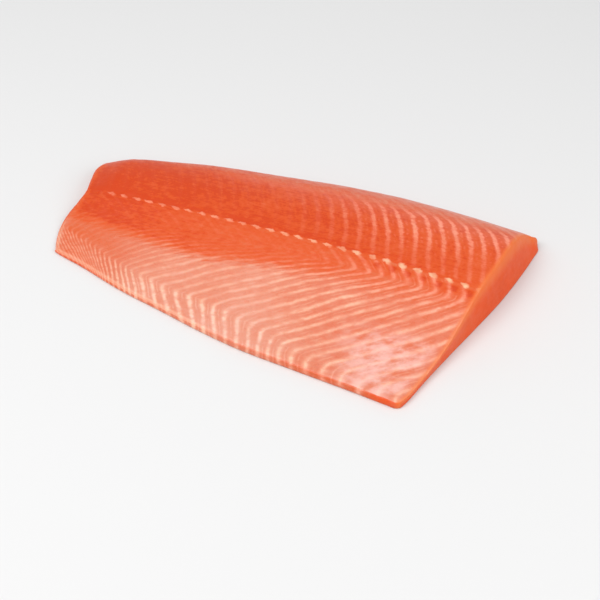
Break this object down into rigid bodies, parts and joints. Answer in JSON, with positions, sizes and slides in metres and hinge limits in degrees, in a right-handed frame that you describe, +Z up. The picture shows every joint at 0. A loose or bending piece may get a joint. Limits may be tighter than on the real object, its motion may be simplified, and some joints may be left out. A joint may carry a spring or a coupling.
{
  "type": "salmon fillet",
  "caption": "Raw skinless side of salmon lying flat: a thick rounded loin, a thin belly flap, a narrow tail end and a slanted cut at the wide end.",
  "frame": {"origin": "under the middle of the fillet's box, on the surface that the fillet lies on", "axes": "+X along the fillet from the tail end to the cut at the head end, +Y across it from the belly flap to the loin, +Z up from the outer face to the inner face"},
  "size_m": [0.3316, 0.1898, 0.0315],
  "materials": {
    "flesh": "wet raw fish flesh, orange with pale lines between the flakes"
  },
  "bodies": {
    "root": {"fillet": "flesh"}
  },
  "joints": []
}
